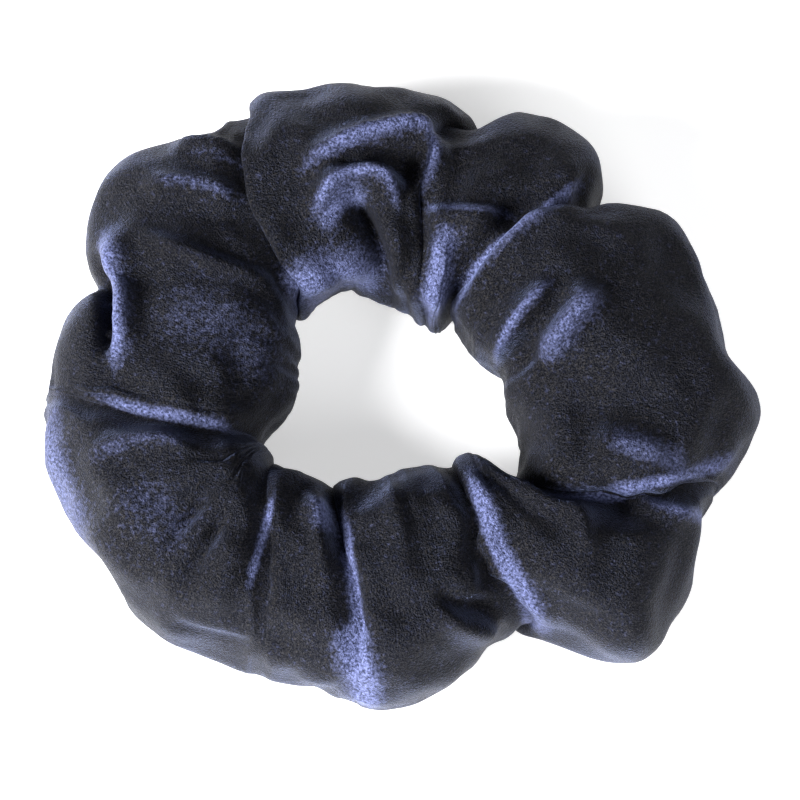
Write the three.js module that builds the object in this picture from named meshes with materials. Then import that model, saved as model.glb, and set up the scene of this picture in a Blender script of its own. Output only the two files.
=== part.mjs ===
// A gathered velvet scrunchie lying flat: a velvet tube, puffed up between its gathers, that holds
// a flat elastic loop. Millimetres, +Z up, with the ring's axis upright and its underside at Z = 0.
//
// The velvet tube is one strip of cloth. It is held here as one hollow sleeve for each puff between
// two gathers, so that the ring can open: the sleeves move apart as the cloth between them pulls out.

import * as THREE from 'three';
import { ParametricGeometry } from 'three/addons/geometries/ParametricGeometry.js';

// ---------------------------------------------------------------- driving dimensions

const WALL = 1.8; // bunched velvet with its pile
const HALF_GAP = 0.2; // between a gather's plane and each sleeve's end
const SEAM_HALF_GAP = 0.6; // the same at the closing seam, which leaves room for its thread

const ELASTIC_RADIUS = 23.5; // to the middle of the band, relaxed
const ELASTIC_WIDTH = 7;
const ELASTIC_THICKNESS = 1.2;
const ELASTIC_MIDDLE_HEIGHT = 12;
const ELASTIC_OVERLAP = 12; // length of the sewn lap
const ELASTIC_JOIN_ANGLE = 128; // degrees, beside the closing seam
const ELASTIC_STEPS = 90; // facets along the band
const ZIGZAGS = 5; // of the thread that joins its ends

const THREAD = 0.5; // sewing thread, diameter
const CLEARANCE = 0.3; // between a thread and what it lies on
const STITCH = 2.5; // machine stitch length
const LONG_SEAM_RADIUS = 27; // the tube's long seam runs round the floor of the sleeve
const CLOSING_SEAM_ANGLE = 119; // degrees, where the tube's two ends are joined
const CLOSING_SEAM_OPEN = 12; // degrees of the section's turn left open on each side of its floor

const THREAD_SIDES = 6;
const ZIGZAG_STEPS = 8; // facets along each zigzag
const STITCH_STEPS = 2; // facets along each stitch of the long seam
const CLOSING_SEAM_STEPS = 48;

const SECTION_SIDES = 24; // facets round the tube
const PUFF_STEPS = 6; // facets along each puff
const FLAT_SHARE = 0.1; // share of a puff's height that is pressed flat on what it lies on
const SQUARENESS = 0.85; // 1 makes the tube's section an ellipse, less makes it boxier
const SWELL = 0.7; // how fast a puff swells from its gathers: 1 is a sine wave, less is faster

// The puffs, anticlockwise. Each starts at a gather and swells to its crest. Both are given by
// angle (degrees from +X), inner and outer radius from the ring's axis, and height.
const PUFFS = [
  { name: 'right', gather: [-18, 19, 56, 22], crest: [12, 16.5, 56, 27] },
  { name: 'upper_right', gather: [40, 14.5, 47, 21], crest: [57, 13.5, 50.5, 26] },
  { name: 'top', gather: [72, 13.5, 46, 22], crest: [95, 14, 50.5, 27] },
  { name: 'upper_left', gather: [119, 17, 50, 22], crest: [141, 17, 55, 26] },
  { name: 'left', gather: [160, 15.5, 49.5, 22], crest: [172, 15, 51.5, 25] },
  { name: 'lower_left', gather: [183, 15.5, 54, 23], crest: [206, 19.5, 54, 27] },
  { name: 'bottom_left', gather: [230, 19.5, 53, 23], crest: [247, 18, 52, 26] },
  { name: 'bottom', gather: [263, 16.5, 50.5, 23], crest: [279, 15, 51.5, 27] },
  { name: 'lower_right', gather: [300, 16, 47, 21], crest: [319, 18.5, 57.5, 25] },
];

// ---------------------------------------------------------------- materials

const velvet = new THREE.MeshStandardMaterial({ color: 0x14161f, roughness: 0.95, metalness: 0 });
const elastic = new THREE.MeshStandardMaterial({ color: 0x16161a, roughness: 0.8, metalness: 0 });
const thread = new THREE.MeshStandardMaterial({ color: 0x10131f, roughness: 0.6, metalness: 0 });

// ---------------------------------------------------------------- the velvet tube

const { degToRad, lerp } = THREE.MathUtils;

// Where a puff lies between the gather before it, its crest and the gather after it.
// share runs from 0 at the first gather to 1 at the next. Returns angle, radii and height.
function station(puff, next, share) {
  const swell = Math.sin(Math.PI * share) ** SWELL;
  const [fromAngle, ...from] = puff.gather;
  const [, ...to] = next.gather;
  const toAngle = next.gather[0] > fromAngle ? next.gather[0] : next.gather[0] + 360;
  const [, ...crest] = puff.crest;
  const at = from.map((size, i) => lerp(lerp(size, to[i], share), crest[i], swell));
  return { fromAngle, toAngle, inner: at[0], outer: at[1], height: at[2] };
}

// A point of the tube's section: turn is in radians from the outer rim, over the top.
// depth is how far the surface lies inside the velvet's outer face.
function sectionPoint({ inner, outer, height }, turn, depth) {
  const round = (x) => Math.sign(x) * Math.abs(x) ** SQUARENESS;
  const middle = height * (1 - FLAT_SHARE) / 2;
  const radius = (inner + outer) / 2 + ((outer - inner) / 2 - depth) * round(Math.cos(turn));
  const z = middle + (height - middle - depth) * round(Math.sin(turn));
  return { radius, z: Math.max(z, depth) };
}

// One sleeve. Its surface is a closed loop along the ring, swept round the section. The loop goes
// along the velvet's outer face, across the sleeve's end, back along the inner face and across the
// other end.
function sleeve(puff, next) {
  const steps = Array.from({ length: PUFF_STEPS + 1 }, (_, i) => i / PUFF_STEPS);
  const outside = steps.map((share) => ({ share, depth: 0 }));
  const inside = steps.toReversed().map((share) => ({ share, depth: WALL }));
  const loop = [...outside, ...inside];
  const startGap = gapAt(puff);
  const endGap = gapAt(next);
  const surface = (u, v, target) => {
    const { share, depth } = loop[Math.round(u * loop.length) % loop.length];
    const at = station(puff, next, share);
    const { radius, z } = sectionPoint(at, v * 2 * Math.PI, depth);
    const start = degToRad(at.fromAngle) + Math.asin(startGap / radius);
    const end = degToRad(at.toAngle) - Math.asin(endGap / radius);
    const angle = lerp(start, end, share);
    target.set(radius * Math.cos(angle), radius * Math.sin(angle), z);
  };
  const geometry = new ParametricGeometry(surface, loop.length, SECTION_SIDES);
  return named(`casing_${puff.name}`, geometry, velvet);
}

function gapAt(puff) {
  return puff.gather[0] === CLOSING_SEAM_ANGLE ? SEAM_HALF_GAP : HALF_GAP;
}

function named(name, geometry, material) {
  const mesh = new THREE.Mesh(geometry, material);
  mesh.name = name;
  return mesh;
}

// ---------------------------------------------------------------- what it holds inside

// A curve given by a function of 0 to 1.
class Route extends THREE.Curve {
  constructor(pointAt) {
    super();
    this.pointAt = pointAt;
  }

  getPoint(t, target = new THREE.Vector3()) {
    return target.copy(this.pointAt(t));
  }
}

function around(radius, degrees, z) {
  const angle = degToRad(degrees);
  return new THREE.Vector3(radius * Math.cos(angle), radius * Math.sin(angle), z);
}

function degreesOf(length, radius) {
  return THREE.MathUtils.radToDeg(length / radius);
}

// The flat elastic stands on edge. Its end climbs outside its start over the sewn lap.
function elasticBand() {
  const lap = degreesOf(ELASTIC_OVERLAP, ELASTIC_RADIUS);
  const turn = 360 + lap;
  const climb = ELASTIC_THICKNESS + CLEARANCE;
  const half = { across: ELASTIC_WIDTH / 2, thick: ELASTIC_THICKNESS / 2 };
  const rings = ELASTIC_STEPS + 2; // with one more at each end, where the section closes to a point
  const corners = [[-1, -1], [1, -1], [1, 1], [-1, 1]];
  const surface = (u, v, target) => {
    const ring = Math.round(u * rings);
    const share = THREE.MathUtils.clamp((ring - 1) / ELASTIC_STEPS, 0, 1);
    const atCap = ring === 0 || ring === rings;
    const degrees = ELASTIC_JOIN_ANGLE - lap / 2 + share * turn;
    const outward = climb * THREE.MathUtils.smoothstep(share * turn, 360 - lap, 360);
    const [side, edge] = atCap ? [0, 0] : corners[Math.round(v * corners.length) % corners.length];
    const radius = ELASTIC_RADIUS + outward + side * half.thick;
    target.copy(around(radius, degrees, ELASTIC_MIDDLE_HEIGHT + edge * half.across));
  };
  return named('elastic_band', new ParametricGeometry(surface, rings, corners.length), elastic);
}

// A round thread along a route, closed at both ends.
function threadAlong(name, pointAt, steps) {
  const section = new THREE.Shape();
  section.absarc(0, 0, THREAD / 2, 0, 2 * Math.PI);
  const geometry = new THREE.ExtrudeGeometry(section, {
    steps,
    curveSegments: THREAD_SIDES / 2,
    extrudePath: new Route(pointAt),
    bevelEnabled: false,
  });
  return named(name, geometry, thread);
}

// The zigzag that joins the elastic's lapped ends, on the outer face of the lap.
function elasticJoinStitching() {
  const lapFace = ELASTIC_RADIUS + ELASTIC_THICKNESS / 2 + CLEARANCE + ELASTIC_THICKNESS;
  const radius = lapFace + CLEARANCE + THREAD / 2;
  const span = degreesOf(ELASTIC_OVERLAP - 2 * THREAD, radius);
  const reach = ELASTIC_WIDTH / 2 - 2 * THREAD;
  const pointAt = (t) => {
    const swing = Math.asin(Math.sin(t * ZIGZAGS * 2 * Math.PI)) / (Math.PI / 2);
    const degrees = ELASTIC_JOIN_ANGLE + (t - 0.5) * span;
    return around(radius, degrees, ELASTIC_MIDDLE_HEIGHT + reach * swing);
  };
  return threadAlong('elastic_join_stitching', pointAt, ZIGZAGS * ZIGZAG_STEPS);
}

// The lockstitch of the tube's long seam, on the floor of the sleeve, from one end of the tube
// to the other. It weaves up and down by a thread's thickness at each stitch.
function longSeamStitching() {
  const free = degreesOf(2 * STITCH, LONG_SEAM_RADIUS);
  const start = CLOSING_SEAM_ANGLE + free;
  const turn = 360 - 2 * free;
  const stitches = Math.round(degToRad(turn) * LONG_SEAM_RADIUS / STITCH);
  const floor = WALL + CLEARANCE + THREAD;
  const pointAt = (t) => {
    const wave = 0.5 - 0.5 * Math.cos(t * stitches * 2 * Math.PI);
    return around(LONG_SEAM_RADIUS, start + t * turn, floor + THREAD * wave);
  };
  return threadAlong('long_seam_stitching', pointAt, stitches * STITCH_STEPS);
}

// The thread that closes the tube into a ring runs round the section, between the tube's two ends.
function closingSeamStitching() {
  const index = PUFFS.findIndex((puff) => puff.gather[0] === CLOSING_SEAM_ANGLE);
  const [, inner, outer, height] = PUFFS[index].gather;
  const open = degToRad(CLOSING_SEAM_OPEN);
  const pointAt = (t) => {
    const turn = lerp(-Math.PI / 2 + open, 1.5 * Math.PI - open, t);
    const { radius, z } = sectionPoint({ inner, outer, height }, turn, WALL / 2);
    return around(radius, CLOSING_SEAM_ANGLE, z);
  };
  return threadAlong('closing_seam_stitching', pointAt, CLOSING_SEAM_STEPS);
}

// ---------------------------------------------------------------- the scrunchie

const casing = new THREE.Group();
PUFFS.forEach((puff, i) => casing.add(sleeve(puff, PUFFS[(i + 1) % PUFFS.length])));

const ring = new THREE.Group();
ring.add(casing, elasticBand(), elasticJoinStitching(), longSeamStitching(), closingSeamStitching());

// The origin is under the middle of the whole ring, so the ring's axis stands a little beside it.
const scrunchie = new THREE.Group();
const middle = new THREE.Box3().setFromObject(ring).getCenter(new THREE.Vector3());
ring.position.set(-middle.x, -middle.y, 0);
scrunchie.add(ring);

export default scrunchie;
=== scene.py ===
"""A navy velvet scrunchie, lying flat. The velvet is one strip of cloth, rolled into a tube with its
long seam underneath and closed end to end at the upper left. An elastic inside gathers it into
puffs."""

import math

import bpy
import numpy as np
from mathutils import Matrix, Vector, noise


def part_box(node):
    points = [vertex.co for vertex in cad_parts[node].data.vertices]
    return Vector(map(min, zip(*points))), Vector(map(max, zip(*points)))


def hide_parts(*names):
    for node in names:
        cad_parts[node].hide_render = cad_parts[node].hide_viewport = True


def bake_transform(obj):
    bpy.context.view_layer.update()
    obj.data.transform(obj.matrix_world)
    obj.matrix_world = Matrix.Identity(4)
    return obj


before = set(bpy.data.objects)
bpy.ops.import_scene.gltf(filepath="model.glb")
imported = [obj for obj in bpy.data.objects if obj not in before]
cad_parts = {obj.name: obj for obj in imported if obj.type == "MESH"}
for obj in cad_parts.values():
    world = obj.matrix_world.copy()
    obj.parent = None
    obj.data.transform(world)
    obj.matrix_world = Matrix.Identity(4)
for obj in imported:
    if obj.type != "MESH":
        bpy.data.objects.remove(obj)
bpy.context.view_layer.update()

# ------------------------------------------------------------------ sizes, in millimetres

MM = 0.001
STRIP_LENGTH = 295.0  # of the velvet between its closing seams
STRIP_WIDTH = 104.0  # between the long seam's two stitching lines
CLOTH = 0.8  # thickness of the velvet with its pile
ALLOWANCE = 6.0  # seam allowance, turned in along the long seam
HEM = 7.0  # of one end, folded in at the closing seam
TUCK = 8.0  # of the other end, which goes on inside the first
SEAM_ROLL = 0.85  # radius of the velvet's face where it turns in at a seam
LAYER_GAP = 0.15  # between two layers of cloth that lie on each other

SEAM_TURN = math.radians(-113)  # where the long seam runs, from the outer rim over the top
COLUMNS = 112  # round the tube, between the rolled edges of the long seam
ROLL_COLUMNS = 3  # for each of those edges
ALLOWANCE_COLUMNS = 3
TUCK_ROWS = 4
HEM_ROWS = 4

# Middle of the ring, from the seam that runs round it.
seam_low, seam_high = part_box("long_seam_stitching")
CENTRE = (np.array(seam_low) + np.array(seam_high)) / 2 / MM * [1, 1, 0]

# Outline of the ring as (angle in degrees, radius) from its middle, anticlockwise, and its height.
# The gathers below cut their notches into it.
OUTER = [
    (-12, 54.8), (-3, 56.6), (6, 52.5), (14, 51.6), (22, 52.4), (31, 51.3), (38, 46.4), (43, 46.6),
    (48, 49.8), (56, 51.4), (65, 49.8), (72, 47.0), (80, 48.6), (92, 50.4), (106, 51.2), (113, 52.4),
    (118, 50.8), (130, 52.0), (140, 56.4), (149, 55.4), (156, 51.8), (161, 48.6), (167, 51.0),
    (182, 53.2), (192, 54.0), (206, 52.3), (218, 51.8), (230, 51.8), (243, 48.8), (256, 48.5),
    (268, 49.7), (278, 48.0), (286, 45.5), (295, 42.6), (302, 46.2), (311, 57.0), (320, 56.4),
    (332, 53.4), (340, 52.2),
]
INNER = [
    (-36, 23.0), (-22, 21.0), (-6, 17.6), (8, 17.4), (20, 14.6), (36, 14.0), (50, 14.8), (63, 12.6),
    (80, 14.4), (98, 16.6), (116, 19.4), (134, 18.4), (152, 15.6), (172, 14.6), (188, 15.6),
    (202, 20.4), (216, 21.6), (232, 19.0), (248, 16.8), (268, 15.2), (286, 14.6), (300, 15.8),
    (312, 16.8),
]
TOP = [
    (-30, 24.5), (-4, 26.0), (20, 27.0), (44, 26.5), (60, 25.0), (76, 24.5), (96, 26.0), (118, 25.5),
    (140, 25.0), (165, 24.5), (184, 24.0), (206, 26.0), (232, 25.5), (250, 24.5), (272, 26.0),
    (292, 25.0), (312, 25.5),
]


def smooth(t):
    t = np.clip(t, 0, 1)
    return t * t * (3 - 2 * t)


# ------------------------------------------------------------------ the gathers between the puffs

EDGE_STEPS = 80  # along the outline of a rolled edge
SHOULDER, FOOT = 0.28, 0.7  # shares of that outline between which a flank lies
FLANK_CURL = 1.12  # how much further the foot of a flank has turned than its shoulder
WANDER_TURNS = 9, 23  # radians of a gather's two waves between the hole and the rim
HOLE_RADIUS, RIM_RADIUS = 20, 50  # typical ones


class Gather:
    """A gather between two puffs. Its line goes from angle inner at the hole to angle outer at the rim,
    bowed by bow degrees, and wanders by wave millimetres. over says which puff's edge lies on top: the
    one that starts there or the one that ends there. That edge is roll deep where it rolls over, turns
    by turn degrees in all, and has a flank that slopes by flank degrees. The lower puff needs reach
    millimetres to dip under it. strength scales the edge at the rim, on top, at the hole and
    underneath."""

    def __init__(self, inner, outer, bow, over, roll, turn, reach, strength, wave, flank=None):
        self.inner, self.outer, self.bow, self.wave = inner, outer, bow, wave
        self.over, self.roll, self.turn, self.reach = over, roll, math.radians(turn), reach
        self.strength = strength
        self.tucked = turn == 180  # a seam, whose edge turns right under
        self.steps = np.linspace(0, 1, EDGE_STEPS + 1)
        bend = self.turn * self.steps
        if flank is not None:
            shoulder = math.radians(flank)
            turned = [0, shoulder, shoulder * FLANK_CURL, self.turn]
            bend = np.interp(self.steps, [0, SHOULDER, FOOT, 1], turned)
        across = np.concatenate([[0], np.cumsum(np.cos((bend[1:] + bend[:-1]) / 2))])
        down = np.concatenate([[0], np.cumsum(np.sin((bend[1:] + bend[:-1]) / 2))])
        scale = (1 - math.cos(self.turn)) / down[-1]
        self.across, self.down = across * scale, down * scale

    def angle(self, share):
        """The line's angle at a share of the way from the hole to the rim."""
        bow = self.bow * 4 * share * (1 - share)  # greatest halfway
        slow, quick = WANDER_TURNS
        wander = np.sin(slow * share + self.inner) + 0.5 * np.sin(quick * share * share + self.outer)
        wander = self.wave * wander / (HOLE_RADIUS + (RIM_RADIUS - HOLE_RADIUS) * share)
        return np.radians(self.inner + (self.outer - self.inner) * share + bow) + wander

    def size(self, turn):
        """The edge's roll radius at a turn round the tube, from the rim over the top."""
        rim, top, hole, under = self.strength
        out, up = np.cos(turn), np.sin(turn)
        side = np.where(out > 0, rim, hole)
        level = np.where(up > 0, top, under)
        return self.roll * (side * out**2 + level * up**2)

    def profile(self, e):
        """Distance from the line and depth of the upper puff's edge, for a roll radius of 1 and for e
        from 0 at the line to 1 at the top of the edge."""
        across = self.across[-1] - np.interp(1 - e, self.steps, self.across)
        return across, np.interp(1 - e, self.steps, self.down)


SEAM = dict(over="end", roll=SEAM_ROLL, turn=180, reach=6.0, strength=(1, 1, 1, 1), wave=0.15)

# Anticlockwise from the closing seam round to it again.
GATHERS = [
    Gather(134.5, 114.5, bow=2.8, **SEAM),
    # the left puff over the lower left one
    Gather(206, 182, bow=0.0, over="end", roll=2.4, turn=78, reach=7.0,
           strength=(0.05, 0.9, 0.9, 0.4), wave=0.3),
    # the bottom left puff over the lower left one
    Gather(217, 247, bow=6.5, over="start", roll=1.7, turn=80, reach=5.0,
           strength=(0.0, 0.9, 0.5, 0.3), wave=0.3),
    # the bottom puff over the bottom left one
    Gather(240, 264, bow=7.5, over="start", roll=2.4, turn=100, reach=7.0,
           strength=(0.0, 1.0, 0.4, 0.3), flank=56, wave=0.4),
    # the lower right puff over the bottom one
    Gather(306, 298, bow=-6.5, over="start", roll=2.6, turn=80, reach=4.0,
           strength=(0.9, 0.8, 0.4, 0.6), wave=0.8),
    # the right puff over the lower right one
    Gather(324, 342, bow=-4.6, over="start", roll=3.4, turn=105, reach=9.0,
           strength=(0.1, 1.0, 0.5, 0.2), wave=0.5),
    # the right puff over the upper right one
    Gather(412, 398.5, bow=1.5, over="end", roll=3.6, turn=100, reach=5.0,
           strength=(1.1, 1.0, 0.5, 0.5), flank=58, wave=0.4),
    # the top puff over the upper right one
    Gather(427, 431, bow=12.0, over="start", roll=2.2, turn=80, reach=5.0,
           strength=(1.5, 0.8, 0.5, 0.5), wave=0.6),
    Gather(494.5, 474.5, bow=2.8, **SEAM),
]
ROWS = [150, 80, 42, 68, 66, 108, 44, 84]  # along each puff
EDGE_SHARE = 0.22  # of a puff's rows, for the roll at each of its edges
LEAST_ROLL = 1.5  # roll radius that sets how wide the shallowest edges still are
ROOM = 0.42  # share of a puff's length that each of its edges may take
TINY = 1e-9  # keeps a division by nothing finite


# ------------------------------------------------------------------ the envelope of the ring

def ring_curve(points):
    """A smooth closed curve through (degrees, value) points, as a function of an angle in radians."""
    angle = np.radians([p[0] for p in points])
    value = np.array([p[1] for p in points], float)
    angle = np.concatenate([angle[-2:] - 2 * np.pi, angle, angle[:2] + 2 * np.pi])
    value = np.concatenate([value[-2:], value, value[:2]])
    slope = np.gradient(value, angle)

    def at(a):
        a = (np.asarray(a) - angle[1]) % (2 * np.pi) + angle[1]
        i = np.clip(np.searchsorted(angle, a, side="right") - 1, 0, len(angle) - 2)
        span = angle[i + 1] - angle[i]
        t = (a - angle[i]) / span
        return (
            value[i] * (1 + 2 * t) * (1 - t) ** 2
            + slope[i] * span * t * (1 - t) ** 2
            + value[i + 1] * t * t * (3 - 2 * t)
            - slope[i + 1] * span * t * t * (1 - t)
        )

    return at


outer_at, inner_at, top_at = ring_curve(OUTER), ring_curve(INNER), ring_curve(TOP)

BOXINESS = 0.86  # 1 makes the tube's section an ellipse, less makes it boxier
SETTLE = 0.1  # share of its height by which the tube settles on what it lies on
SAG = 0.6  # how softly it comes to rest there, in millimetres


def envelope(angle, turn):
    """A point of the ring without its gathers, at an angle round the ring and a turn round the tube."""
    r_in, r_out, top = inner_at(angle), outer_at(angle), top_at(angle)
    middle = top * (0.5 - SETTLE / 2)
    out, up = np.cos(turn), np.sin(turn)
    out = np.sign(out) * np.abs(out) ** BOXINESS
    up = np.sign(up) * np.abs(up) ** BOXINESS
    radius = (r_in + r_out) / 2 + (r_out - r_in) / 2 * out
    return np.stack([radius * np.cos(angle), radius * np.sin(angle), middle + (top - middle) * up], -1)


def envelope_normal(angle, turn):
    step = 0.01
    along = envelope(angle + step, turn) - envelope(angle - step, turn)
    around = envelope(angle, turn + step) - envelope(angle, turn - step)
    normal = np.cross(along, around)
    return normal / np.linalg.norm(normal, axis=-1, keepdims=True)


def share_out(turn):
    """How far from the hole to the rim a turn of the tube lies."""
    out = np.cos(turn)
    return 0.5 + 0.5 * np.sign(out) * np.abs(out) ** BOXINESS


def radius_at(angle, turn):
    return np.linalg.norm(envelope(angle, turn)[..., :2], axis=-1)


# ------------------------------------------------------------------ the velvet's face

def columns():
    """Each column of the sheet: its turn round the tube, and for the columns of the long seam their
    distance from its line and their depth below the tube's face, all in millimetres but the turn."""
    main = np.linspace(0, 1, COLUMNS)
    roll = np.radians(np.linspace(90, 0, ROLL_COLUMNS + 1)[:-1])
    side = SEAM_ROLL * (1 - np.sin(roll)) + LAYER_GAP / 2
    depth = SEAM_ROLL * (1 - np.cos(roll))
    inward = SEAM_ROLL + ALLOWANCE * np.linspace(1, 0, ALLOWANCE_COLUMNS + 1)[:-1]
    side = np.concatenate([np.full(ALLOWANCE_COLUMNS, LAYER_GAP / 2), side])
    depth = np.concatenate([inward, depth])
    edge = SEAM_ROLL + LAYER_GAP / 2
    base = np.concatenate([np.zeros(len(side)), main, np.ones(len(side))])
    offset = np.concatenate([side, edge * (1 - 2 * main), -side[::-1]])
    deep = np.concatenate([depth, np.zeros(COLUMNS), depth[::-1]])
    return SEAM_TURN + 2 * np.pi * base, offset, deep


COLUMN_TURN, COLUMN_OFFSET, COLUMN_DEPTH = columns()
EDGE_COLUMNS = ROLL_COLUMNS + ALLOWANCE_COLUMNS
TUBE_DEPTH = 33.0  # typical radius of the tube's section at the long seam, wider than it is high


def turns():
    return COLUMN_TURN + COLUMN_OFFSET / TUBE_DEPTH * 2


def puff_rows(start, end, count):
    """The angle and the depth below the envelope of each point of the puff between two gathers."""
    turn = turns()[None, :]
    f = np.linspace(0, 1, count + 1)[:-1, None]
    share = share_out(turn)
    first, last = start.angle(share), end.angle(share)
    radius_first, radius_last = radius_at(first, turn), radius_at(last, turn)
    length = (last - first) * (radius_first + radius_last) / 2
    room = ROOM * length

    def edge(gather, side, e):
        """Distance from the gather's line and depth, for e from 0 at the line to 1 on the puff."""
        roll = gather.size(turn)
        across, down = gather.profile(e)
        total = gather.profile(1)[0]
        roll = roll * np.minimum(1, room / np.maximum(roll * total, TINY))
        if gather.over == side:
            least = 0 if gather.tucked else LEAST_ROLL
            wide = np.minimum(np.hypot(roll, least), room / max(total, TINY))
            return wide * across, roll * down
        reach = np.maximum(gather.reach * gather.size(turn) / gather.roll, 2 * LEAST_ROLL)
        reach = np.minimum(reach, room)
        bottom = roll * gather.down[-1] + (LAYER_GAP if gather.tucked else 0)
        return reach * e, bottom * (0.5 + 0.5 * np.cos(np.pi * e))

    x_first, deep_first = edge(start, "start", np.clip(f / EDGE_SHARE, 0, 1))
    x_last, deep_last = edge(end, "end", np.clip((1 - f) / EDGE_SHARE, 0, 1))
    body = np.clip((f - EDGE_SHARE) / (1 - 2 * EDGE_SHARE), 0, 1)
    angle_first = first + x_first / radius_first
    angle_last = last - x_last / radius_last
    middle = angle_first + (angle_last - angle_first) * body
    angle = np.where(f < EDGE_SHARE, angle_first, np.where(f > 1 - EDGE_SHARE, angle_last, middle))
    return angle, deep_first + deep_last


def end_rows(gather, distances, depth):
    """Rows inside the closing seam, at distances behind its line."""
    turn = turns()[None, :]
    line = gather.angle(share_out(turn))
    angle = line - np.asarray(distances)[:, None] / radius_at(line, turn)
    return angle, np.full(angle.shape, depth)


def face_grid():
    """The velvet's face as a grid of angles and depths, row by row along the tube."""
    rows = [end_rows(GATHERS[0], np.linspace(TUCK, 0, TUCK_ROWS + 1)[:-1], 2 * SEAM_ROLL + LAYER_GAP)]
    rows += [puff_rows(*puff) for puff in zip(GATHERS, GATHERS[1:], ROWS)]
    rows += [end_rows(GATHERS[-1], np.linspace(0, HEM, HEM_ROWS + 1), 2 * SEAM_ROLL)]
    return np.concatenate([r[0] for r in rows]), np.concatenate([r[1] for r in rows])


# ------------------------------------------------------------------ folds within the puffs

FADE = 0.3  # share of a fold's length over which each of its ends fades out


class Fold:
    """A fold of the cloth on top of the ring, along a path of (x, y) from the ring's middle. It stands
    height proud of the cloth round it, or lies below it where height is negative. left and right are
    the widths of its two flanks, seen along the path."""

    def __init__(self, height, left, right, path):
        self.height, self.left, self.right = height, left, right
        self.path = rounded(np.array(path, float))

    def rise(self, at):
        nearest = np.full(len(at), np.inf)
        signed, along = np.zeros(len(at)), np.zeros(len(at))
        lengths = np.linalg.norm(np.diff(self.path, axis=0), axis=1)
        travelled = np.concatenate([[0], np.cumsum(lengths)])
        for i, (a, b) in enumerate(zip(self.path, self.path[1:])):
            way = b - a
            t = np.clip(((at - a) @ way) / (way @ way), 0, 1)
            off = at - (a + t[:, None] * way)
            distance = np.linalg.norm(off, axis=1)
            closer = distance < nearest
            nearest = np.where(closer, distance, nearest)
            side = np.sign(way[0] * off[:, 1] - way[1] * off[:, 0])
            signed = np.where(closer, distance * side, signed)
            along = np.where(closer, travelled[i] + t * lengths[i], along)
        share = along / travelled[-1]
        fade = smooth(share / FADE) * smooth((1 - share) / FADE)
        width = np.where(signed > 0, self.left, self.right)
        return self.height * fade * np.exp(-((nearest / width) ** 2))


def rounded(path, times=3):
    """The path with its corners cut, so that it is a smooth line with the same ends."""
    for _ in range(times):
        near = 0.75 * path[:-1] + 0.25 * path[1:]
        far = 0.25 * path[:-1] + 0.75 * path[1:]
        path = np.concatenate([path[:1], np.stack([near, far], 1).reshape(-1, 2), path[-1:]])
    return path


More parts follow.
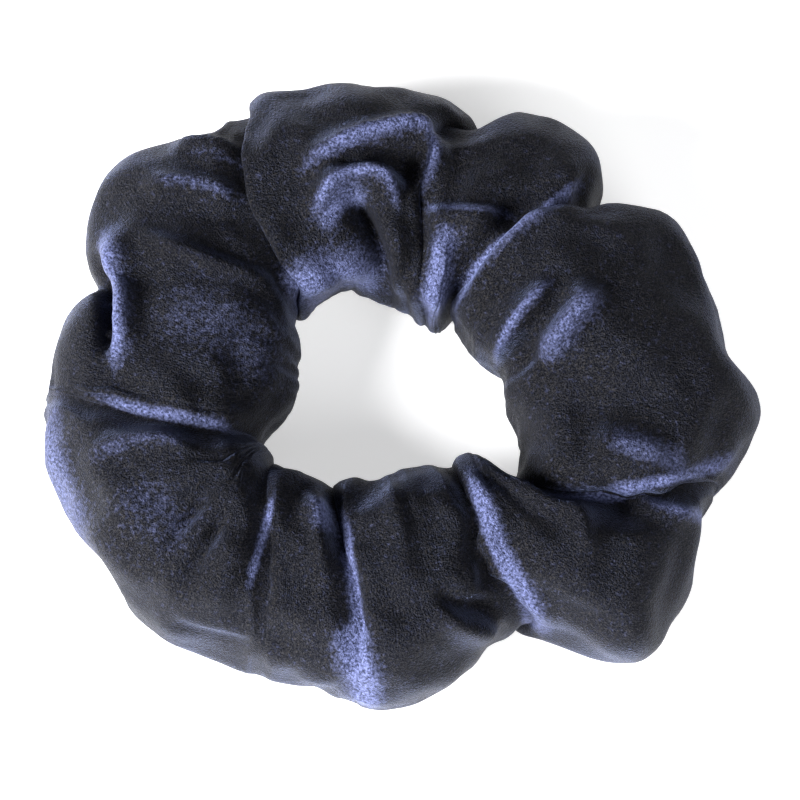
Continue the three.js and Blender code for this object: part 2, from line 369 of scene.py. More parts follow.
FOLDS = [
    # top puff: a ridge that hooks round from the left to the right edge, an arc inside it, the hollow
    # under both, the broad ridge beside that, and the ruffle beside the hole
    Fold(3.6, 1.9, 2.8, [(-15.5, 29), (-13, 31.8), (-7.7, 34.7), (0, 37.4), (5, 38.5), (7.4, 34),
                         (4.2, 25.5)]),
    Fold(-2.6, 2.0, 2.0, [(-10, 30), (-6.5, 32.3), (-1, 33.4), (3, 31.5), (2.6, 26.5)]),
    Fold(4.0, 1.9, 2.4, [(-12.3, 23), (-10.5, 27.5), (-6.5, 30), (-2, 30), (0.8, 27), (1.2, 23.5)]),
    Fold(-4.5, 1.6, 2.4, [(-6.5, 27.5), (-4.2, 23.5), (-1.9, 19), (-0.5, 13)]),
    Fold(2.4, 2.4, 2.8, [(-1.0, 25), (2, 18), (4.5, 9)]),
    Fold(3.2, 2.2, 2.2, [(-16.5, 12.5), (-12, 16.4), (-7.7, 18.6), (-4, 17.4), (-2.2, 13.5)]),
    Fold(-2.5, 1.6, 1.6, [(-10, 11), (-7, 14), (-4.5, 13)]),
    # upper right puff: the cloth turns down towards the hole below a thin line
    Fold(2.6, 1.1, 4.0, [(3.5, 24.4), (9.3, 23.6), (14, 23.2), (19, 22.8)]),
    Fold(2.4, 1.8, 2.4, [(9, 21.5), (7.2, 16.5), (6.6, 10)]),
    Fold(2.4, 2.6, 1.8, [(31, 31), (20.5, 22), (12, 15), (9.6, 10)]),
    # right puff: two ridges beside the hole, and shallow waves above the lower rim
    Fold(2.6, 1.3, 1.8, [(25.5, 12.8), (20.5, 7.5), (15, 2.5)]),
    Fold(-1.8, 1.6, 1.8, [(28, 10.5), (23, 5), (18, -1)]),
    Fold(2.8, 2.2, 3.2, [(32.5, 11.5), (27, 5), (22, -0.5)]),
    Fold(-1.6, 3.4, 4.5, [(24, -6), (33, -7), (43, -4)]),
    Fold(1.8, 2.6, 3.0, [(29, -13), (34, -14), (42, -15)]),
    # lower right puff
    Fold(1.8, 1.5, 1.8, [(36, -20), (41, -23.2), (46, -22.5)]),
    Fold(1.4, 1.3, 1.8, [(27.6, -20), (28.4, -26), (29.5, -32)]),
    # bottom puff
    Fold(1.0, 1.8, 2.6, [(-1, -18), (1, -24), (2, -31)]),
    Fold(-2.2, 1.4, 1.8, [(6, -36), (11, -38.5), (17, -37)]),
    Fold(2.0, 1.5, 1.8, [(6, -38.6), (11, -41), (17, -39.5)]),
    # bottom left puff
    Fold(2.0, 1.8, 2.0, [(-10.6, -19), (-10, -25), (-9.4, -33)]),
    # lower left puff
    Fold(1.7, 2.4, 1.7, [(-46, -17), (-41, -13.5), (-34, -12.8), (-28, -14.5)]),
    Fold(-1.3, 0.9, 1.1, [(-26.5, -21), (-30, -26), (-34, -31)]),
    Fold(-1.2, 0.9, 1.1, [(-23.5, -24), (-27, -30), (-31, -36)]),
    Fold(1.4, 2.6, 3.0, [(-22, -27), (-24.5, -34), (-27, -40)]),
    Fold(1.6, 3.4, 4.4, [(-47, -22), (-43, -30), (-36, -37)]),
    Fold(-1.3, 1.0, 1.3, [(-35, -38.5), (-27, -42), (-19, -43.5)]),
    # left puff: its rolled edge, and the low lobe that lies behind it at the rim
    Fold(3.0, 2.1, 2.2, [(-43.4, 24), (-41.0, 15), (-40.4, 7), (-41.4, -1)]),
    Fold(-4.4, 1.3, 1.1, [(-45.4, 20), (-43.7, 14), (-43.1, 7), (-43.4, 0)]),
    # upper left puff
    Fold(1.4, 1.0, 1.2, [(-39, 22), (-32, 17.5), (-22, 14.5), (-15, 14)]),
    Fold(1.8, 1.4, 2.0, [(-39, 30), (-30, 29), (-21, 26.5)]),
    Fold(1.4, 1.2, 1.8, [(-35, 36.5), (-29, 36.8), (-22, 35.4)]),
    Fold(-1.4, 3.4, 3.4, [(-36, 25), (-29, 24.5), (-20, 22)]),
]

# Where the nap has been rubbed the other way and looks lighter, and where sheen is painted on as lighter
# colour along ridges, flanks and rims: strength, and widths to either side of a path.
PAINTED_SHEEN_STROKES = [
    # top puff
    Fold(0.75, 0.9, 0.9, [(-15.5, 28), (-13, 31.4), (-7.7, 34.2), (0, 36.8), (5.2, 38), (7.2, 34),
                          (4.2, 25)]),
    Fold(0.7, 0.7, 0.7, [(-12.5, 22.5), (-10.5, 27.2), (-6.5, 29.7), (-2, 29.7), (0.8, 26.8),
                         (1.2, 23)]),
    Fold(0.6, 1.8, 1.4, [(-10.5, 21), (-8.8, 25), (-6, 26.6), (-3, 25)]),
    Fold(1.1, 2.2, 2.2, [(-16.5, 12), (-13, 15.4), (-8, 17.8), (-4.5, 16.6), (-2.2, 12.5)]),
    # upper right puff
    Fold(0.7, 0.5, 0.5, [(3.5, 25.2), (9.3, 24.4), (14, 24.0), (20, 23.6)]),
    Fold(0.8, 1.7, 1.4, [(9.5, 23), (7.6, 17), (6.4, 9)]),
    # right puff: its upper left edge, the ridges beside the hole, and its lower rim
    Fold(1.1, 1.4, 0.8, [(33, 32.5), (26, 26.4), (20.2, 21.6), (11.6, 14.8), (9, 9)]),
    Fold(0.7, 0.6, 0.6, [(25, 12.6), (20.2, 7.2), (15.4, 2.4)]),
    Fold(0.5, 1.8, 1.8, [(32.5, 11), (27, 4.6), (22.5, -1)]),
    Fold(0.4, 2.2, 1.5, [(31, -13.4), (36, -14.2), (42, -16), (46, -16)]),
    Fold(0.9, 0.8, 0.6, [(18, -15), (24.5, -19.5), (30, -20.6), (39.3, -19.8), (51, -14.5), (55, -9)]),
    # lower right puff: beside the rim above it, and its left edge
    Fold(0.7, 1.0, 1.0, [(38, -20.5), (43.5, -23.6), (50, -22)]),
    Fold(1.1, 1.5, 0.8, [(10.8, -13), (13.6, -24), (16, -31), (20, -37.5), (23.4, -41), (28, -44.5)]),
    # bottom puff: its left edge
    Fold(1.0, 0.7, 0.9, [(-7.6, -21), (-6.3, -28), (-5.4, -37), (-4.4, -45), (-3.4, -51)]),
    Fold(0.9, 2.2, 2.2, [(-7, -40), (-5, -46), (-1.5, -52)]),
    # bottom left puff
    Fold(0.6, 1.6, 1.6, [(-10.2, -20), (-9.8, -24), (-9.6, -28)]),
    Fold(0.9, 0.5, 0.6, [(-17, -20), (-18, -26), (-21, -37)]),
    # lower left puff
    Fold(0.25, 1.1, 1.1, [(-46, -17), (-41, -14), (-34, -13), (-28, -14)]),
    # left puff: its lower edge and its rolled one
    Fold(0.6, 0.8, 0.5, [(-47, -4), (-41, -6.4), (-34, -8.4), (-24, -10.4), (-19, -9.5)]),
    Fold(1.0, 1.8, 0.9, [(-45, 25), (-42.2, 16), (-41.4, 8), (-42, -3)]),
    # upper left puff
    Fold(0.35, 0.7, 0.7, [(-38, 30), (-30, 28.8), (-21, 26)]),
    Fold(0.2, 0.6, 0.6, [(-32, 34.5), (-27, 34), (-21, 32)]),
    # along the outer rim: a painted rim glow
    Fold(0.5, 2.2, 2.6, [(-52, 0), (-52, -12), (-48, -24), (-42, -33)]),
    Fold(0.4, 2.0, 2.0, [(-48, 34), (-50, 26), (-47, 19)]),
    Fold(0.4, 2.6, 2.0, [(24, -46), (36, -50), (47, -44)]),
    # a faint painted glow on the left and lower left puffs, on the side the key lamp lights
    Fold(0.15, 5.5, 5.5, [(-38, 10), (-29, 7), (-20, 4), (-17, -6)]),
    Fold(0.14, 4.0, 4.0, [(-40, -18), (-35, -24), (-28, -30)]),
]


# How far below the middle of the tube's section the folds and the rubbed nap with its painted sheen
# reach, and over what height they fade out, both as shares of half its height.
FOLDS_REACH, FOLDS_FADE = 0.15, 0.7
PAINTED_SHEEN_REACH, PAINTED_SHEEN_FADE = 0.3, 0.4


def folds_at(at, turn):
    """How far the folds lift the cloth at each point."""
    flat = at[..., :2].reshape(-1, 2)
    rise = sum(fold.rise(flat) for fold in FOLDS).reshape(turn.shape)
    return rise * smooth((np.sin(turn) + FOLDS_REACH) / FOLDS_FADE)


def nap_and_painted_sheen_at(at, turn):
    """How far the nap has been rubbed the other way at each point, from 0 to 1, which is how strongly
    sheen is painted on there as lighter colour.
    """
    flat = at[..., :2].reshape(-1, 2)
    nap_and_painted_sheen = sum(sheen_stroke.rise(flat) for sheen_stroke in PAINTED_SHEEN_STROKES).reshape(turn.shape)
    return np.clip(nap_and_painted_sheen, 0, 1) * smooth((np.sin(turn) + PAINTED_SHEEN_REACH) / PAINTED_SHEEN_FADE)


def noise_at(coordinates):
    flat = [noise.noise(Vector(c)) for c in coordinates.reshape(-1, 3)]
    return np.array(flat).reshape(coordinates.shape[:-1])


FAN, FINE_FAN = 8, 16  # how close together the gathers that fan out from the elastic are, per radian
FAN_HEIGHT, FINE_FAN_HEIGHT = 0.8, 0.6
DENT, PUCKER = 11.0, 5.0  # sizes of the dents and of the puckers among them
DENT_HEIGHT, PUCKER_HEIGHT = 0.9, 0.4


def creases_at(at, angle, turn):
    """How far the small uneven creases of bunched velvet lift the cloth: gathers that fan out from the
    elastic on the hole's side and underneath, and soft dents everywhere."""
    fan = noise_at(np.stack([angle * FAN + 0.6 * turn, turn * 0.5, 0 * turn], -1))
    fine_fan = noise_at(np.stack([angle * FINE_FAN, turn * 0.9, 0 * turn + 7], -1))
    hole_side = smooth(0.5 - 0.62 * np.cos(turn)) * (0.6 + 0.4 * np.cos(turn / 2))
    underneath = smooth(0.3 - np.sin(turn))
    gathers = hole_side * (FAN_HEIGHT * fan + FINE_FAN_HEIGHT * underneath * fine_fan)
    return gathers + DENT_HEIGHT * noise_at(at / DENT) + PUCKER_HEIGHT * noise_at(at / PUCKER + 30)


# ------------------------------------------------------------------ cloth simulation

SIM_SCALE = 0.01  # simulation units in a millimetre: Blender's cloth works best near one metre
SIM_FRAMES = 9
SIM_ROWS = 3  # rows of the face in a row of the simulated cloth
SIM_COLUMNS = 2
GROWTH = 0.06  # share by which the cloth grows, so that it buckles
HOLD = 0.5  # how firmly it is held to its shape, from 0 to 1
SMOOTHINGS = 2
WIDE_SMOOTHINGS = 14  # what is left after these is left to the shape above
HELD_SHARE = 0.24  # of a puff's rows at each end, over which its gathers hold the small folds down
PULLED_SMOOTH = 0.7  # share of the small folds that the elastic takes away beside the hole


def simulated(points):
    """How far a short cloth simulation moves the velvet: it grows a little, held softly to its shape, so
    that it buckles into small folds that lie against each other."""
    coarse = points[::SIM_ROWS, ::SIM_COLUMNS]
    rows, count = coarse.shape[:2]
    mesh = mesh_of("cloth_simulation", coarse * SIM_SCALE, grid_quads(np.arange(rows * count), count))
    cloth = bpy.data.objects.new("cloth_simulation", mesh)
    bpy.context.scene.collection.objects.link(cloth)
    hold = np.full((rows, count), HOLD)
    for line in np.cumsum([0, *ROWS]) // SIM_ROWS:
        hold[max(line - 1, 0):line + 2] = 1
    hold[:, :2] = hold[:, -2:] = 1
    group = cloth.vertex_groups.new(name="hold")
    for weight in (HOLD, 1):
        group.add(np.flatnonzero(hold.ravel() == weight).tolist(), weight, "REPLACE")
    modifier = cloth.modifiers.new("cloth", "CLOTH")
    modifier.point_cache.frame_end = SIM_FRAMES
    settings = modifier.settings
    settings.quality = 5
    settings.air_damping = 2
    settings.tension_stiffness = settings.compression_stiffness = 30
    settings.shear_stiffness = 10
    settings.bending_stiffness = 60
    settings.shrink_min = settings.shrink_max = -GROWTH
    settings.vertex_group_mass = "hold"
    settings.effector_weights.gravity = 0
    modifier.collision_settings.use_collision = False
    modifier.collision_settings.use_self_collision = True
    modifier.collision_settings.self_distance_min = CLOTH / 2 * SIM_SCALE
    for step in range(1, SIM_FRAMES + 1):
        bpy.context.scene.frame_set(step)
    settled = cloth.evaluated_get(bpy.context.evaluated_depsgraph_get()).to_mesh()
    moved = np.empty(len(settled.vertices) * 3, np.float32)
    settled.vertices.foreach_get("co", moved)
    bpy.context.scene.frame_set(1)
    bpy.data.objects.remove(cloth)
    shift = moved.reshape(coarse.shape) / SIM_SCALE - coarse
    small_folds = blurred(shift, SMOOTHINGS) - blurred(shift, WIDE_SMOOTHINGS)
    return stretched(small_folds, points.shape[:2]) * freedom(points.shape[:2])[..., None]


def freedom(shape):
    """How much of the small folds shows at each point: none where a gather holds the cloth, and less
    beside the hole, where the elastic has it pulled smooth."""
    starts = np.cumsum([0, *ROWS])
    row = np.arange(shape[0])
    puff = np.clip(np.searchsorted(starts, row, side="right") - 1, 0, len(ROWS) - 1)
    along = (row - starts[puff]) / np.array(ROWS)[puff]
    turn = turns()[EDGE_COLUMNS:-EDGE_COLUMNS]
    beside_hole = smooth(-np.cos(turn) * 1.6 - 0.4) * smooth(np.sin(turn) + 0.8)
    between = smooth(np.minimum(along, 1 - along) / HELD_SHARE)
    return between[:, None] * (1 - PULLED_SMOOTH * beside_hole)[None, :]


def blurred(grid, times):
    grid = grid.copy()
    for _ in range(times):
        near = grid[:-2, 1:-1] + grid[2:, 1:-1] + grid[1:-1, :-2] + grid[1:-1, 2:]
        grid[1:-1, 1:-1] = (grid[1:-1, 1:-1] + near / 4) / 2
    return grid


def stretched(grid, shape):
    """A coarse grid of vectors, filled in between to a finer one."""
    u = np.minimum(np.arange(shape[0]) / SIM_ROWS, grid.shape[0] - 1)
    v = np.minimum(np.arange(shape[1]) / SIM_COLUMNS, grid.shape[1] - 1)
    u0, v0 = np.minimum(u.astype(int), grid.shape[0] - 2), np.minimum(v.astype(int), grid.shape[1] - 2)
    along, across = (u - u0)[:, None, None], (v - v0)[None, :, None]
    rows = grid[u0] * (1 - along) + grid[u0 + 1] * along
    return rows[:, v0] * (1 - across) + rows[:, v0 + 1] * across


# ------------------------------------------------------------------ meshes

def grid_quads(index, count):
    index = index.reshape(-1, count)
    a, b, c, d = index[:-1, :-1], index[:-1, 1:], index[1:, 1:], index[1:, :-1]
    return np.stack([a, b, c, d], -1).reshape(-1, 4)


def mesh_of(name, points, faces):
    """A smooth mesh of points in metres. faces is a list of rows of corners."""
    mesh = bpy.data.meshes.new(name)
    mesh.from_pydata(np.asarray(points).reshape(-1, 3).tolist(), [], [list(f) for f in faces])
    mesh.shade_smooth()
    return mesh


def store(mesh, name, values):
    """Keeps a number or a vector for each point of the mesh."""
    kind, field = ("FLOAT", "value") if values.ndim == 1 else ("FLOAT_VECTOR", "vector")
    attribute = mesh.attributes.new(name, kind, "POINT")
    attribute.data.foreach_set(field, values.ravel().astype(np.float32))


def placed(name, mesh, material):
    piece = bpy.data.objects.new(name, mesh)
    mesh.materials.append(material)
    bpy.context.scene.collection.objects.link(piece)
    return piece


INNER_ROWS = 3  # rows of the velvet's face in a row of its back
INNER_COLUMNS = 2


def grid_normals(points):
    along = np.gradient(points, axis=0)
    around = np.gradient(points, axis=1)
    normal = np.cross(along, around)
    return normal / np.maximum(np.linalg.norm(normal, axis=-1, keepdims=True), TINY)


def picked(count, step):
    """Every step-th index, and the last."""
    return np.unique(np.append(np.arange(0, count, step), count - 1))


def sheet_mesh(name, points, nap_and_painted_sheen):
    """The velvet as a closed solid: its face, its back one thickness of cloth behind, and the cut edges
    between the two."""
    rows, count = points.shape[:2]
    back_rows, back_columns = picked(rows, INNER_ROWS), picked(count, INNER_COLUMNS)
    back = (points - CLOTH * grid_normals(points))[np.ix_(back_rows, back_columns)]
    face_index = np.arange(rows * count).reshape(rows, count)
    back_index = np.arange(back.shape[0] * back.shape[1]).reshape(back.shape[:2]) + rows * count
    faces = grid_quads(face_index, count).tolist()
    faces += grid_quads(back_index, back.shape[1])[:, ::-1].tolist()

    def rim(front, behind, at, flip):
        for i, (low, high) in enumerate(zip(at, at[1:])):
            corners = [*front[low:high + 1], behind[i + 1], behind[i]]
            faces.append([int(c) for c in (corners[::-1] if flip else corners)])

    rim(face_index[0], back_index[0], back_columns, True)
    rim(face_index[-1], back_index[-1], back_columns, False)
    rim(face_index[:, 0], back_index[:, 0], back_rows, False)
    rim(face_index[:, -1], back_index[:, -1], back_rows, True)
    every = np.concatenate([points.reshape(-1, 3), back.reshape(-1, 3)])
    mesh = mesh_of(name, (every + CENTRE) * MM, faces)
    lengths, widths = np.linspace(0, STRIP_LENGTH, rows), np.linspace(0, STRIP_WIDTH, count)
    lengthwise, crosswise = np.meshgrid(lengths, widths, indexing="ij")
    place = np.stack([lengthwise, crosswise, 0 * lengthwise], -1)
    place = np.concatenate([place.reshape(-1, 3), place[np.ix_(back_rows, back_columns)].reshape(-1, 3)])
    store(mesh, "cloth", place * MM)
    # where sheen is painted on the face as lighter colour, as rubbed nap; none on the back
    store(mesh, "nap_and_painted_sheen", np.concatenate([nap_and_painted_sheen.ravel(), np.zeros(back_index.size)]))
    return mesh


def velvet_face():
    """The velvet's face as a grid of points from the ring's middle, and how its nap is rubbed, which
    says where sheen is painted on it as lighter colour.
    """
    angle, depth = face_grid()
    turn = np.broadcast_to(turns(), angle.shape)
    depth = depth + COLUMN_DEPTH
    on_envelope = envelope(angle, turn)
    lift = folds_at(on_envelope, turn) + creases_at(on_envelope, angle, turn)
    points = on_envelope + (lift - depth)[..., None] * envelope_normal(angle, turn)
    free = np.s_[TUCK_ROWS:-HEM_ROWS, EDGE_COLUMNS:-EDGE_COLUMNS]
    start = points[free].copy()
    start[..., 2] = np.maximum(start[..., 2], depth[free])
    points[free] += simulated(start)
    points[..., 2] = depth + SAG * np.log1p(np.exp((points[..., 2] - depth) / SAG))
    return points, nap_and_painted_sheen_at(on_envelope, turn)


# ------------------------------------------------------------------ materials

class Nodes:
    """Adds nodes to a material and links them."""

    def __init__(self, name):
        self.material = bpy.data.materials.new(name)
        self.material.use_nodes = True
        self.tree = self.material.node_tree
        self.shader = self.tree.nodes["Principled BSDF"]

    def add(self, kind, inputs=None, **settings):
        node = self.tree.nodes.new(kind)
        for key, value in settings.items():
            setattr(node, key, value)
        for key, value in (inputs or {}).items():
            if isinstance(value, bpy.types.NodeSocket):
                self.tree.links.new(value, node.inputs[key])
            else:
                node.inputs[key].default_value = value
        return node

    def noise(self, place, scale, detail, roughness):
        made = self.add("ShaderNodeTexNoise", {"Vector": place, "Scale": scale, "Detail": detail,
                                               "Roughness": roughness})
        return made.outputs["Fac"]

    def ramp(self, value, low, high, dark, light):
        made = self.add("ShaderNodeValToRGB", {"Fac": value})
        made.color_ramp.elements[0].position = low
        made.color_ramp.elements[1].position = high
        made.color_ramp.elements[0].color = (*dark, 1)
        made.color_ramp.elements[1].color = (*light, 1)
        return made.outputs["Color"]

    def sum(self, *terms):
        """The sum of value times weight, for pairs of a value and its weight."""
        total = None
        for value, weight in terms:
            scaled = self.add("ShaderNodeMath", {0: value, 1: weight}, operation="MULTIPLY").outputs[0]
            if total is None:
                total = scaled
            else:
                total = self.add("ShaderNodeMath", {0: total, 1: scaled}, operation="ADD").outputs[0]
        return total

    def paint(self, colour):
        self.tree.links.new(colour, self.shader.inputs["Base Color"])

    def bump(self, height, strength, distance):
        bump = self.add("ShaderNodeBump", {"Height": height, "Strength": strength, "Distance": distance})
        self.tree.links.new(bump.outputs["Normal"], self.shader.inputs["Normal"])

    def set(self, **values):
        for key, value in values.items():
            self.shader.inputs[key.replace("_", " ")].default_value = value


RIB = 0.00055  # pitch of the knit's ribs, in metres
TIPS, TUFTS, CLUMPS, NAP = 4200, 2400, 1300, 260  # how fine each unevenness of the pile is
PILE = (0.0004, 0.0004, 0.0004), (0.0155, 0.015, 0.016)  # darkest and lightest of its speckle, like the two below
BROWN = (0.001, 0.0009, 0.0006), (0.014, 0.0122, 0.0095)
# the painted sheen: lighter, bluer colours laid on where the nap is rubbed
PAINTED_SHEEN_PILE = (0.018, 0.021, 0.042), (0.122, 0.14, 0.28)


def velvet():
    nodes = Nodes("velvet")
    place = nodes.add("ShaderNodeTexCoord").outputs["Object"]
    cloth = nodes.add("ShaderNodeAttribute", attribute_name="cloth").outputs["Vector"]
    ribs = nodes.add("ShaderNodeTexWave", {"Vector": cloth, "Scale": math.pi / (10 * RIB),
                                           "Distortion": 0.8, "Detail": 1.0, "Detail Scale": 0.6},
                     wave_type="BANDS", bands_direction="X", wave_profile="SIN").outputs["Fac"]
    tips = nodes.noise(place, TIPS, 2.0, 0.6)
    tufts = nodes.noise(place, TUFTS, 1.5, 0.6)
    nap = nodes.noise(place, NAP, 1.5, 0.5)
    clumps = nodes.noise(place, CLUMPS, 2.0, 0.7)
    dark = nodes.ramp(tips, 0.44, 0.68, *PILE)
    brown = nodes.ramp(tufts, 0.56, 0.8, *BROWN)
    flat = nodes.add("ShaderNodeMix", {"Factor": 1.0, 6: dark, 7: brown}, data_type="RGBA",
                     blend_type="ADD").outputs[2]
    # painted sheen: a lighter, bluer speckled colour mixed over the flat pile where the nap is rubbed
    painted_sheen_colour = nodes.ramp(tufts, 0.34, 0.7, *PAINTED_SHEEN_PILE)
    nap_and_painted_sheen = nodes.add("ShaderNodeAttribute", attribute_name="nap_and_painted_sheen").outputs["Fac"]
    painted_sheen_share = nodes.ramp(nodes.sum((nap_and_painted_sheen, 1.0), (clumps, 0.7)), 0.4, 1.55, (0, 0, 0), (1, 1, 1))
    nodes.paint(nodes.add("ShaderNodeMix", {"Factor": painted_sheen_share, 6: flat, 7: painted_sheen_colour}, data_type="RGBA",
                          blend_type="MIX").outputs[2])
    nodes.bump(nodes.sum((ribs, 0.12), (tips, 1.8), (tufts, 1.2), (nap, 0.8)), 0.55, 0.0005)
    nodes.set(Roughness=0.47, Specular_IOR_Level=0.09, Specular_Tint=(0.45, 0.55, 1.0, 1),
              Sheen_Weight=0.21, Sheen_Roughness=0.18, Sheen_Tint=(0.41, 0.51, 0.95, 1))
    return nodes.material


def woven_elastic():
    nodes = Nodes("woven_elastic")
    place = nodes.add("ShaderNodeTexCoord").outputs["Object"]
    yarn = nodes.noise(place, 2500, 2.0, 0.6)
    nodes.paint(nodes.ramp(yarn, 0.35, 0.7, (0.008, 0.008, 0.009), (0.035, 0.035, 0.038)))
    nodes.bump(yarn, 0.5, 0.0002)
    nodes.set(Roughness=0.7, Specular_IOR_Level=0.3, Sheen_Weight=0.2, Sheen_Roughness=0.4)
    return nodes.material


def sewing_thread():
    nodes = Nodes("sewing_thread")
    along = nodes.add("ShaderNodeAttribute", attribute_name="cloth").outputs["Vector"]
    plies = nodes.add("ShaderNodeTexWave", {"Vector": along, "Scale": math.pi / (10 * PLY),
                                            "Distortion": 0.3},
                      wave_type="BANDS", bands_direction="DIAGONAL", wave_profile="SIN").outputs["Fac"]
    nodes.paint(nodes.ramp(plies, 0.2, 0.8, (0.004, 0.005, 0.010), (0.02, 0.024, 0.05)))
    nodes.bump(plies, 0.6, 0.00008)
    nodes.set(Roughness=0.5, Specular_IOR_Level=0.4, Sheen_Weight=0.2, Sheen_Roughness=0.3)
    return nodes.material


# ------------------------------------------------------------------ what the velvet holds

ELASTIC_RADIUS = 23.5  # to the middle of the band
ELASTIC_THICKNESS = 1.2
ELASTIC_OVERLAP = 12.0  # length of the sewn lap
ELASTIC_JOIN_ANGLE = 128  # degrees, beside the closing seam
ELASTIC_LIFT = 0.3  # between the lapped layers
ELASTIC_STEPS = 240
ELASTIC_CORDS = 9  # rubber cords woven in side by side
CORD_POINTS = 4
CORD_RELIEF = 0.22  # share of the band's thickness that the valleys between its cords take away
WEAVE = 0.05  # how far the weft stands up between two cords' crossings
elastic_low, elastic_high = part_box("elastic_band")
ELASTIC_MIDDLE = (elastic_low[2] + elastic_high[2]) / 2 / MM
ELASTIC_WIDTH = (elastic_high[2] - elastic_low[2]) / MM
ELASTIC_STIFFNESS = 9  # degrees over which it can bend
HOLE_SIDE = -0.3  # cosine of the turn that the cloth beside the hole lies within

THREAD = 0.35  # diameter
PLY = 0.0004  # pitch of the thread's twist, in metres
STITCH = 2.5
STITCH_POINTS = 6
THREAD_SIDES = 6
TAPER = 0.4  # what is left of a thread's thickness at its ends
ZIGZAGS = 5
ZIGZAG_POINTS = 16
SEAM_ROWS = 4  # rows of the face between two points of the long seam's line
LOCK_SWING = 0.3  # how far the lockstitch winds up and down, as a share of the thread
SLIP, SLIP_SWING = 0.35, 0.25  # where the closing stitches run between the two layers, as shares


def swept(name, sections, material):
    """A closed solid through equal rings of points, one after the other, with its ends capped."""
    sections = np.asarray(sections)
    count, sides = sections.shape[:2]
    index = np.arange(count * sides).reshape(count, sides)
    looped = np.concatenate([index, index[:, :1]], 1)
    faces = grid_quads(looped, sides + 1)[:, ::-1].tolist()
    faces += [index[0].tolist(), index[-1][::-1].tolist()]
    mesh = mesh_of(name, (sections + CENTRE) * MM, faces)
    place = np.zeros((count, sides, 3))
    place[..., 0] = travelled_along(sections.mean(1))[:, None]
    place[..., 1] = np.arange(sides) * math.pi * THREAD / sides
    store(mesh, "cloth", place * MM)
    return placed(name, mesh, material)


def travelled_along(path):
    """How far along the path each of its points lies."""
    return np.concatenate([[0], np.cumsum(np.linalg.norm(np.diff(path, axis=0), axis=1))])


def spaced(path, step):
    """The path as points about one step apart."""
    travelled = travelled_along(path)
    at = np.linspace(0, travelled[-1], int(travelled[-1] / step) + 1)
    return np.stack([np.interp(at, travelled, path[:, k]) for k in range(3)], -1)


def thread_rings(path):
    """Rings round a path of points, tapered at its two ends."""
    tangent = np.gradient(path, axis=0)
    tangent /= np.linalg.norm(tangent, axis=1, keepdims=True)
    side = np.cross(tangent, (0, 0, 1))
    side /= np.maximum(np.linalg.norm(side, axis=1, keepdims=True), TINY)
    up = np.cross(side, tangent)
    turn = np.linspace(0, 2 * np.pi, THREAD_SIDES, endpoint=False)[None, :, None]
    radius = np.full((len(path), 1, 1), THREAD / 2)
    radius[[0, -1]] *= TAPER
    return path[:, None] + radius * (np.cos(turn) * side[:, None] + np.sin(turn) * up[:, None])


def joined(name, pieces):
    """Several pieces made into one object."""
    with bpy.context.temp_override(active_object=pieces[0], selected_editable_objects=pieces):
        bpy.ops.object.join()
    pieces[0].name = pieces[0].data.name = name
    return pieces[0]


def around(radius, angle, z):
    return np.stack([radius * np.cos(angle), radius * np.sin(angle), z + 0 * angle], -1)


def elastic_line(face):
    """The elastic's radius at each degree round the ring: its own, or more where the cloth beside the
    hole reaches further out than that."""
    wall = (face - CLOTH * grid_normals(face))[:, EDGE_COLUMNS:-EDGE_COLUMNS]
    level = np.abs(wall[..., 2] - ELASTIC_MIDDLE) < ELASTIC_WIDTH / 2 + CLOTH
    x, y, _ = wall[level & (np.cos(turns()[EDGE_COLUMNS:-EDGE_COLUMNS]) < HOLE_SIDE)].T
    line = np.full(360, ELASTIC_RADIUS)
    degree = np.degrees(np.arctan2(y, x)).astype(int) % 360
    np.maximum.at(line, degree, np.hypot(x, y) + ELASTIC_THICKNESS / 2 + CLOTH)
    near = (np.arange(360)[:, None] + np.arange(-ELASTIC_STIFFNESS, ELASTIC_STIFFNESS + 1)) % 360
    return line[near].max(1)[near].mean(1)


def elastic_radius(line, angle):
    return np.interp(np.degrees(angle), np.arange(360), line, period=360)


def elastic_band(line, material):
    """Flat woven elastic on edge: cords side by side, crossed by the weft, its end lapped outside its
    start."""
    lap = ELASTIC_OVERLAP / ELASTIC_RADIUS
    total = 2 * math.pi + lap
    share = np.linspace(0, 1, ELASTIC_STEPS + 1)
    angle = math.radians(ELASTIC_JOIN_ANGLE) - lap / 2 + share * total
    climb = (ELASTIC_THICKNESS + ELASTIC_LIFT) * smooth((share * total - 2 * math.pi + lap) / lap)
    across = np.linspace(0, 1, ELASTIC_CORDS * CORD_POINTS + 1)
    cord = np.abs(np.sin(math.pi * ELASTIC_CORDS * across))
    thick = ELASTIC_THICKNESS / 2 * (1 - CORD_RELIEF + CORD_RELIEF * cord) - WEAVE
    checks = (np.arange(len(share))[:, None] + across * ELASTIC_CORDS).astype(int) % 2
    crossing = np.where(checks, WEAVE, 0)
    height = ELASTIC_MIDDLE + (across - 0.5) * ELASTIC_WIDTH
    radius = (elastic_radius(line, angle) + climb)[:, None]
    outside = around(radius + thick + crossing, angle[:, None] + 0 * across, height)
    inside = around(radius - thick - crossing, angle[:, None] + 0 * across, height)
    return swept("elastic_band_woven", np.concatenate([outside, inside[:, ::-1]], 1), material)


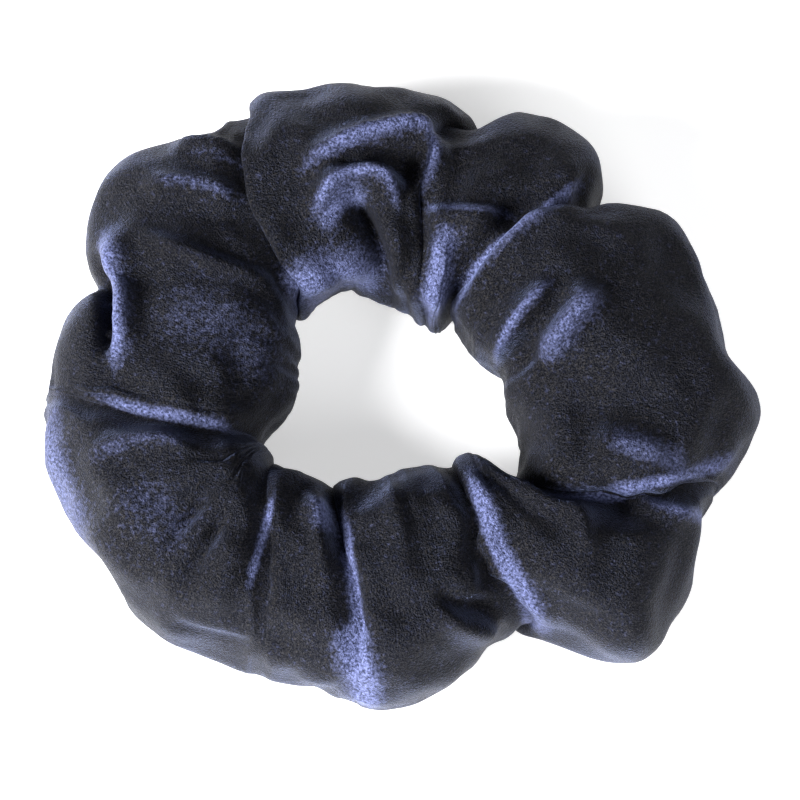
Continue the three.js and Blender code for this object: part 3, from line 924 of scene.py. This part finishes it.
def elastic_join(line, material):
    """The zigzag through the lap, seen on its outer and inner face. It dips into the band at each of
    its turns."""
    span = (ELASTIC_OVERLAP - 2 * THREAD) / ELASTIC_RADIUS
    t = np.linspace(0, 1, ZIGZAGS * ZIGZAG_POINTS + 1)
    swing = np.arcsin(np.sin(t * ZIGZAGS * 2 * np.pi)) / (np.pi / 2)
    angle = math.radians(ELASTIC_JOIN_ANGLE) + (t - 0.5) * span
    height = ELASTIC_MIDDLE + (ELASTIC_WIDTH / 2 - 2 * THREAD) * swing
    middle = elastic_radius(line, angle)
    outer = middle + 1.5 * ELASTIC_THICKNESS + ELASTIC_LIFT
    inner = middle - 0.5 * ELASTIC_THICKNESS
    dip = THREAD * np.abs(swing) ** 6
    faces = [thread_rings(around(outer + THREAD / 3 - dip, angle, height)),
             thread_rings(around(inner - THREAD / 3 + dip, angle, height))]
    return joined("elastic_join_zigzag", [swept("elastic_join", face, material) for face in faces])


def long_seam(face, material):
    """The lockstitch of the long seam, on the back of each seam allowance."""
    back = face - (CLOTH + THREAD / 3) * grid_normals(face)
    near = ALLOWANCE_COLUMNS
    rows = slice(TUCK_ROWS, -HEM_ROWS, SEAM_ROWS)
    threads = []
    for pair in ([near - 1, near], [-near, -near - 1]):
        path = spaced(back[rows][:, pair].mean(1), STITCH / STITCH_POINTS)
        wave = np.arange(len(path)) / STITCH_POINTS * 2 * np.pi
        path[:, 2] += THREAD * LOCK_SWING * np.cos(wave)
        threads.append(swept("long_seam", thread_rings(path), material))
    return joined("long_seam_lockstitch", threads)


def closing_seam(face, material):
    """Slip stitches between the folded edge on top and the cloth beneath it, from one side of the long
    seam round to the other."""
    edge = face[-HEM_ROWS - 1, EDGE_COLUMNS:-EDGE_COLUMNS]
    behind = face[-HEM_ROWS, EDGE_COLUMNS:-EDGE_COLUMNS]
    travelled = travelled_along(edge)
    at = np.linspace(0, travelled[-1], int(travelled[-1] / STITCH * STITCH_POINTS) + 1)
    column = np.interp(at, travelled, np.arange(len(edge)))

    def points_on(line):
        return np.stack([np.interp(column, np.arange(len(line)), line[:, k]) for k in range(3)], -1)

    slip = SLIP + SLIP_SWING * np.sin(np.arange(len(at)) / STITCH_POINTS * 2 * np.pi)[:, None]
    path = points_on(edge) * (1 - slip) + points_on(behind) * slip
    return swept("closing_seam_stitches", thread_rings(path), material)


# the velvet's face, and where sheen is painted on it as rubbed nap
face_points, nap_and_painted_sheen = velvet_face()
casing = placed("velvet_casing", sheet_mesh("velvet_casing", face_points, nap_and_painted_sheen), velvet())
thread = sewing_thread()
elastic_run = elastic_line(face_points)
elastic = elastic_band(elastic_run, woven_elastic())
zigzag = elastic_join(elastic_run, thread)
lockstitch = long_seam(face_points, thread)
slip_stitches = closing_seam(face_points, thread)

# ------------------------------------------------------------------ the CAD parts that each piece stands for, hidden

sleeves = [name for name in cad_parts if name.startswith("casing_")]
for piece, slot, nodes in [
    (casing, "velvet", sleeves),
    (elastic, "elastic", ["elastic_band"]),
    (zigzag, "thread", ["elastic_join_stitching"]),
    (lockstitch, "thread", ["long_seam_stitching"]),
    (slip_stitches, "thread", ["closing_seam_stitching"]),
]:
    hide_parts(*nodes)
    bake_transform(piece)

# ------------------------------------------------------------------ camera, light and floor

AIM = (1.5, -2, 12)  # what the camera looks at, from the ring's middle
target = Vector((CENTRE + AIM) * MM)
ELEVATION = math.radians(70)
DISTANCE = 0.45  # in metres, like the next one
VIEW_WIDTH = 0.1234  # of the picture, where the camera looks
camera = bpy.data.objects.new("camera", bpy.data.cameras.new("camera"))
bpy.context.scene.collection.objects.link(camera)
back = Vector((0, -math.cos(ELEVATION), math.sin(ELEVATION)))
camera.location = target + back * DISTANCE
camera.rotation_mode = "QUATERNION"
camera.rotation_quaternion = (-back).to_track_quat("-Z", "Y")
camera.data.lens = camera.data.sensor_width * DISTANCE / VIEW_WIDTH
camera.data.clip_start = 0.01
bpy.context.scene.camera = camera


def area_light(name, place, size, power):
    light = bpy.data.lights.new(name, "AREA")
    light.shape = "DISK"
    light.size = size
    light.energy = power
    lamp = bpy.data.objects.new(name, light)
    lamp.location = place
    lamp.rotation_mode = "QUATERNION"
    lamp.rotation_quaternion = (target - Vector(place)).to_track_quat("-Z", "Y")
    bpy.context.scene.collection.objects.link(lamp)


area_light("key", (-0.62, -0.36, 0.4), 0.45, 34)
area_light("fill", (0.45, -0.5, 0.38), 0.5, 5.5)
area_light("soft", (0.1, 0.1, 1.1), 1.0, 0.6)

world = bpy.data.worlds.new("world")
bpy.context.scene.world = world
world.use_nodes = True
sky = world.node_tree.nodes["Background"].inputs
sky["Color"].default_value = (0.9, 0.93, 1, 1)
sky["Strength"].default_value = 0.05

HALF_FLOOR = 3.0
floor_mesh = bpy.data.meshes.new("floor")
corners = [(-1, -1), (1, -1), (1, 1), (-1, 1)]
floor_mesh.from_pydata([(x * HALF_FLOOR, y * HALF_FLOOR, 0) for x, y in corners], [], [(0, 1, 2, 3)])
floor = bpy.data.objects.new("floor", floor_mesh)
bpy.context.scene.collection.objects.link(floor)
paper = Nodes("paper")
paper.set(Base_Color=(0.9, 0.9, 0.91, 1), Roughness=0.8, Emission_Color=(1, 1, 1, 1),
          Emission_Strength=0.55)
floor_mesh.materials.append(paper.material)
bpy.context.scene.view_settings.view_transform = "Standard"
